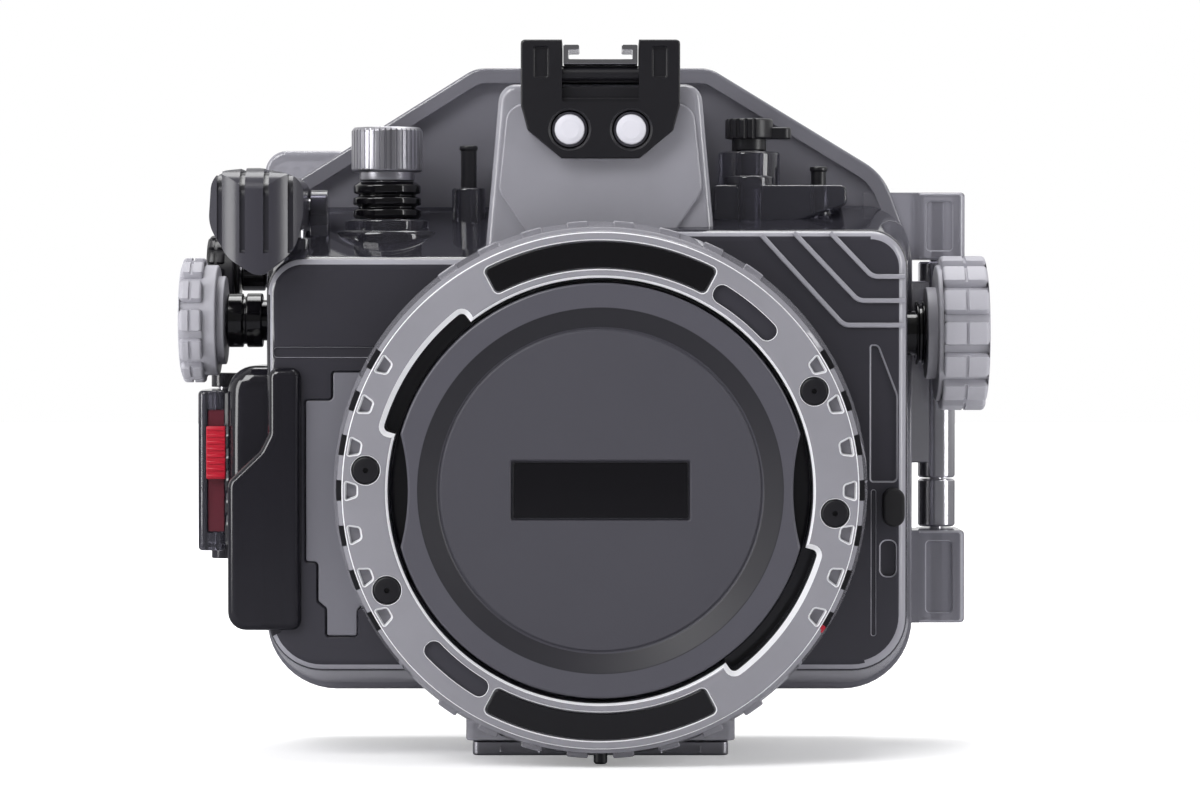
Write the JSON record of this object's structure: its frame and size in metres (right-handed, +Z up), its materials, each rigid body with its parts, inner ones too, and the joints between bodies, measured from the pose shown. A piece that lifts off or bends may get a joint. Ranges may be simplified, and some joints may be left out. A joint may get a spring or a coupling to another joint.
{
  "type": "underwater camera housing",
  "caption": "Smoked clear diving case for a camera with a capped bayonet port, hinged back door, side latch, dials, levers and push buttons.",
  "frame": {"origin": "on the flat underside of the base plate, straight below the port's axis and behind the tripod thread", "axes": "-Y out of the port, +Z up, +X towards the door's hinge"},
  "size_m": [0.182, 0.0902, 0.159],
  "materials": {
    "smoked_polycarbonate": "moulded smoked polycarbonate, semi-gloss",
    "clear_polycarbonate": "moulded clear polycarbonate, glossy",
    "black_abs": "moulded ABS, satin",
    "polished_black": "turned and polished",
    "grey_abs": "moulded ABS, fine satin",
    "lever_grey": "moulded, semi-gloss",
    "knob_grey": "moulded, matt",
    "grey_aluminium": "anodised and knurled",
    "stainless": "turned and polished",
    "black_rubber": "moulded silicone, matt",
    "white_acrylic": "opal",
    "red_abs": "moulded, glossy",
    "window": "flat polished pane"
  },
  "bodies": {
    "housing": {"front_shell": "smoked_polycarbonate", "port_ring": "clear_polycarbonate", "port_mount": "black_abs", "label_plate_top": "black_abs", "label_plate_bottom": "black_abs", "base_plate": "grey_aluminium", "camera_tray": "black_abs", "shoe_bracket": "black_abs", "cold_shoe": "stainless", "lever_pin": "stainless", "hinge_pin": "stainless", "hinge_barrel": "stainless", "side_plug": "black_rubber", "ring_screw_1": "black_abs", "ring_screw_2": "black_abs", "ring_screw_3": "black_abs", "ring_screw_4": "black_abs", "fibre_window_left": "white_acrylic", "fibre_window_right": "white_acrylic", "mode_dial_gland": "polished_black", "front_dial_gland": "polished_black", "zoom_dial_gland": "polished_black"},
    "door": {"rear_door": "smoked_polycarbonate", "door_seal": "black_rubber", "screen_window": "window", "finder_window": "window", "hinge_leaf": "stainless", "latch_pin": "stainless", "rear_dial_gland": "polished_black"},
    "rear_dial": {"rear_dial_knob": "black_abs", "rear_dial_shaft": "stainless"},
    "side_latch": {"latch": "clear_polycarbonate"},
    "lock_slider": {"latch_lock": "red_abs"},
    "mode_dial": {"mode_dial_knob": "grey_aluminium", "mode_dial_shaft": "stainless"},
    "front_dial": {"front_dial_knob": "knob_grey", "front_dial_shaft": "stainless"},
    "zoom_dial": {"zoom_dial_knob": "knob_grey", "zoom_dial_shaft": "stainless"},
    "power": {"power_lever": "black_abs", "power_lever_shaft": "stainless"},
    "left_post": {"left_push_post": "black_abs"},
    "right_post": {"right_push_post": "black_abs"},
    "shutter": {"shutter_lever": "lever_grey"},
    "plunger": {"shutter_plunger": "stainless"},
    "cap": {"port_cap": "grey_abs"},
    "ring_lock": {"lock_pin": "black_abs"},
    "ok_button_key": {"ok_button": "black_abs"},
    "left_arrow_button_key": {"left_arrow_button": "black_abs"},
    "right_arrow_button_key": {"right_arrow_button": "black_abs"},
    "up_arrow_button_key": {"up_arrow_button": "black_abs"},
    "down_arrow_button_key": {"down_arrow_button": "black_abs"},
    "info_button_key": {"info_button": "black_abs"},
    "lock_button_key": {"lock_button": "black_abs"},
    "play_button_key": {"play_button": "black_abs"},
    "delete_button_key": {"delete_button": "black_abs"},
    "menu_button_key": {"menu_button": "black_abs"}
  },
  "joints": [
    {"name": "door_hinge", "type": "hinge", "parent": "housing", "child": "door", "pos_m": [0.078, 0.024, 0.08], "axis": [0, 0, -1], "range_deg": [0, 105]},
    {"name": "latch_hinge", "type": "hinge", "parent": "door", "child": "side_latch", "pos_m": [-0.0868, 0.0196, 0.0634], "axis": [0, 0, -1], "range_deg": [0, 80]},
    {"name": "latch_lock_slide", "type": "slide", "parent": "side_latch", "child": "lock_slider", "axis": [0, 0, -1], "range_m": [0, 0.005], "stiffness_N_per_m": 200},
    {"name": "mode_dial_turn", "type": "hinge", "parent": "housing", "child": "mode_dial", "pos_m": [-0.0481, -0.006, 0.13], "axis": [0, 0, 1], "continuous": true},
    {"name": "front_dial_turn", "type": "hinge", "parent": "housing", "child": "front_dial", "pos_m": [-0.09, 0, 0.097], "axis": [1, 0, 0], "continuous": true},
    {"name": "zoom_dial_turn", "type": "hinge", "parent": "housing", "child": "zoom_dial", "pos_m": [0.08, 0, 0.0941], "axis": [1, 0, 0], "continuous": true},
    {"name": "rear_dial_turn", "type": "hinge", "parent": "door", "child": "rear_dial", "pos_m": [-0.087, 0.024, 0.1076], "axis": [1, 0, 0], "continuous": true},
    {"name": "power_lever_turn", "type": "hinge", "parent": "housing", "child": "power", "pos_m": [0.0336, -0.003, 0.138], "axis": [0, 0, 1], "range_deg": [0, 45]},
    {"name": "shutter_lever_hinge", "type": "hinge", "parent": "housing", "child": "shutter", "pos_m": [-0.075, -0.0086, 0.1224], "axis": [1, 0, 0], "range_deg": [0, 6], "stiffness_Nm_per_rad": 0.6},
    {"name": "shutter_plunger_slide", "type": "slide", "parent": "housing", "child": "plunger", "axis": [0, 0, -1], "range_m": [0, 0.0011]},
    {"name": "left_post_push", "type": "slide", "parent": "housing", "child": "left_post", "axis": [0, 0, -1], "range_m": [0, 0.002], "stiffness_N_per_m": 300},
    {"name": "right_post_push", "type": "slide", "parent": "housing", "child": "right_post", "axis": [0, 0, -1], "range_m": [0, 0.002], "stiffness_N_per_m": 300},
    {"name": "port_cap_twist", "type": "hinge", "parent": "housing", "child": "cap", "pos_m": [0, -0.045, 0.0602], "axis": [0, 1, 0], "range_deg": [0, 40]},
    {"name": "ring_lock_push", "type": "slide", "parent": "housing", "child": "ring_lock", "axis": [0, 0, 1], "range_m": [0, 0.001], "stiffness_N_per_m": 300},
    {"name": "ok_button_push", "type": "slide", "parent": "door", "child": "ok_button_key", "axis": [0, -1, 0], "range_m": [0, 0.002], "stiffness_N_per_m": 300},
    {"name": "left_arrow_button_push", "type": "slide", "parent": "door", "child": "left_arrow_button_key", "axis": [0, -1, 0], "range_m": [0, 0.002], "stiffness_N_per_m": 300},
    {"name": "right_arrow_button_push", "type": "slide", "parent": "door", "child": "right_arrow_button_key", "axis": [0, -1, 0], "range_m": [0, 0.002], "stiffness_N_per_m": 300},
    {"name": "up_arrow_button_push", "type": "slide", "parent": "door", "child": "up_arrow_button_key", "axis": [0, -1, 0], "range_m": [0, 0.002], "stiffness_N_per_m": 300},
    {"name": "down_arrow_button_push", "type": "slide", "parent": "door", "child": "down_arrow_button_key", "axis": [0, -1, 0], "range_m": [0, 0.002], "stiffness_N_per_m": 300},
    {"name": "info_button_push", "type": "slide", "parent": "door", "child": "info_button_key", "axis": [0, -1, 0], "range_m": [0, 0.002], "stiffness_N_per_m": 300},
    {"name": "lock_button_push", "type": "slide", "parent": "door", "child": "lock_button_key", "axis": [0, -1, 0], "range_m": [0, 0.002], "stiffness_N_per_m": 300},
    {"name": "play_button_push", "type": "slide", "parent": "door", "child": "play_button_key", "axis": [0, -1, 0], "range_m": [0, 0.002], "stiffness_N_per_m": 300},
    {"name": "delete_button_push", "type": "slide", "parent": "door", "child": "delete_button_key", "axis": [0, -1, 0], "range_m": [0, 0.002], "stiffness_N_per_m": 300},
    {"name": "menu_button_push", "type": "slide", "parent": "door", "child": "menu_button_key", "axis": [0, -1, 0], "range_m": [0, 0.002], "stiffness_N_per_m": 300}
  ],
  "couplings": [
    {"joint": "shutter_plunger_slide", "follows": "shutter_lever_hinge", "m_per_rad": 0.0104}
  ]
}
